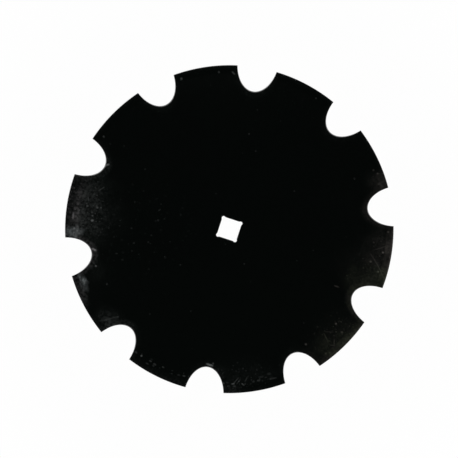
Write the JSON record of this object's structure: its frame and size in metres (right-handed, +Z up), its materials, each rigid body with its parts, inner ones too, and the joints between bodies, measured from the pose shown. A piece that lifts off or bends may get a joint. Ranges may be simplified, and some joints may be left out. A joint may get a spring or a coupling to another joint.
{
  "type": "harrow disc blade",
  "caption": "Dished steel disc blade for a harrow gang, with a notched, ground rim and a square axle hole.",
  "frame": {"origin": "bottom centre: the middle of the spot on the convex back that the blade rests on, on the axle line", "axes": "+Z up the axle line, towards the hollow side; X and Y square to the flats of the axle hole"},
  "size_m": [0.61, 0.61, 0.0905],
  "materials": {
    "black_lacquer": "glossy black lacquer over steel, dusty and finely scratched near the rim"
  },
  "bodies": {
    "root": {"disc_blade": "black_lacquer"}
  },
  "joints": []
}
